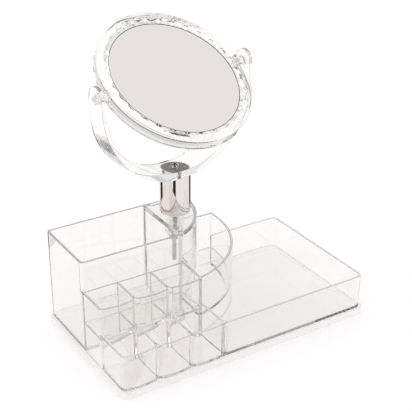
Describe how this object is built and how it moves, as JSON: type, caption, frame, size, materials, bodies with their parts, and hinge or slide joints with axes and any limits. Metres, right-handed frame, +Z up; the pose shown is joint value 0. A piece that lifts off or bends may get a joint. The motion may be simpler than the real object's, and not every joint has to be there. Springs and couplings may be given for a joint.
{
  "type": "cosmetic organizer",
  "caption": "Clear desk-top make-up organizer with stepped slots, bins, a side tray and a round two-sided mirror in a swivelling yoke on a chrome post.",
  "frame": {"origin": "centre of the rectangular base, on the table surface", "axes": "+Z up, +X to the right with the side tray on the right, -Y towards the user"},
  "size_m": [0.235, 0.168, 0.2409],
  "materials": {
    "clear_styrene": "clear, polished mould",
    "clear_acrylic": "clear, polished",
    "chrome_tube": "bright chrome plate",
    "plain_mirror": "silvered float glass",
    "dished_mirror": "silvered dished glass",
    "foam": "foam",
    "black_nylon": "black nylon",
    "clear_nylon": "translucent nylon",
    "zinc_steel": "zinc plated",
    "dark_steel": "blackened"
  },
  "bodies": {
    "base": {"organizer_body": "clear_styrene", "swivel_washer": "clear_nylon"},
    "stand": {"post_tube": "chrome_tube", "tube_plug_bottom": "clear_acrylic", "tube_plug_top": "black_nylon", "tie_rod": "zinc_steel", "wave_spring": "zinc_steel", "flat_washer": "zinc_steel", "lower_nut": "zinc_steel", "yoke": "clear_acrylic", "yoke_nut": "dark_steel", "pivot_washer_left": "clear_nylon", "pivot_washer_right": "clear_nylon"},
    "head": {"mirror_ring": "clear_acrylic", "mirror_plain": "plain_mirror", "mirror_magnifying": "dished_mirror", "backing_pad": "foam", "pivot_pin_left": "clear_acrylic", "pivot_pin_right": "clear_acrylic"}
  },
  "joints": [
    {"name": "stand_swivel", "type": "hinge", "parent": "base", "child": "stand", "pos_m": [-0.0057, 0.0441, 0.0835], "axis": [0, 0, 1], "continuous": true},
    {"name": "mirror_tilt", "type": "hinge", "parent": "stand", "child": "head", "pos_m": [-0.0057, 0.0441, 0.19985], "axis": [0.9903, 0.1392, 0], "continuous": true}
  ]
}
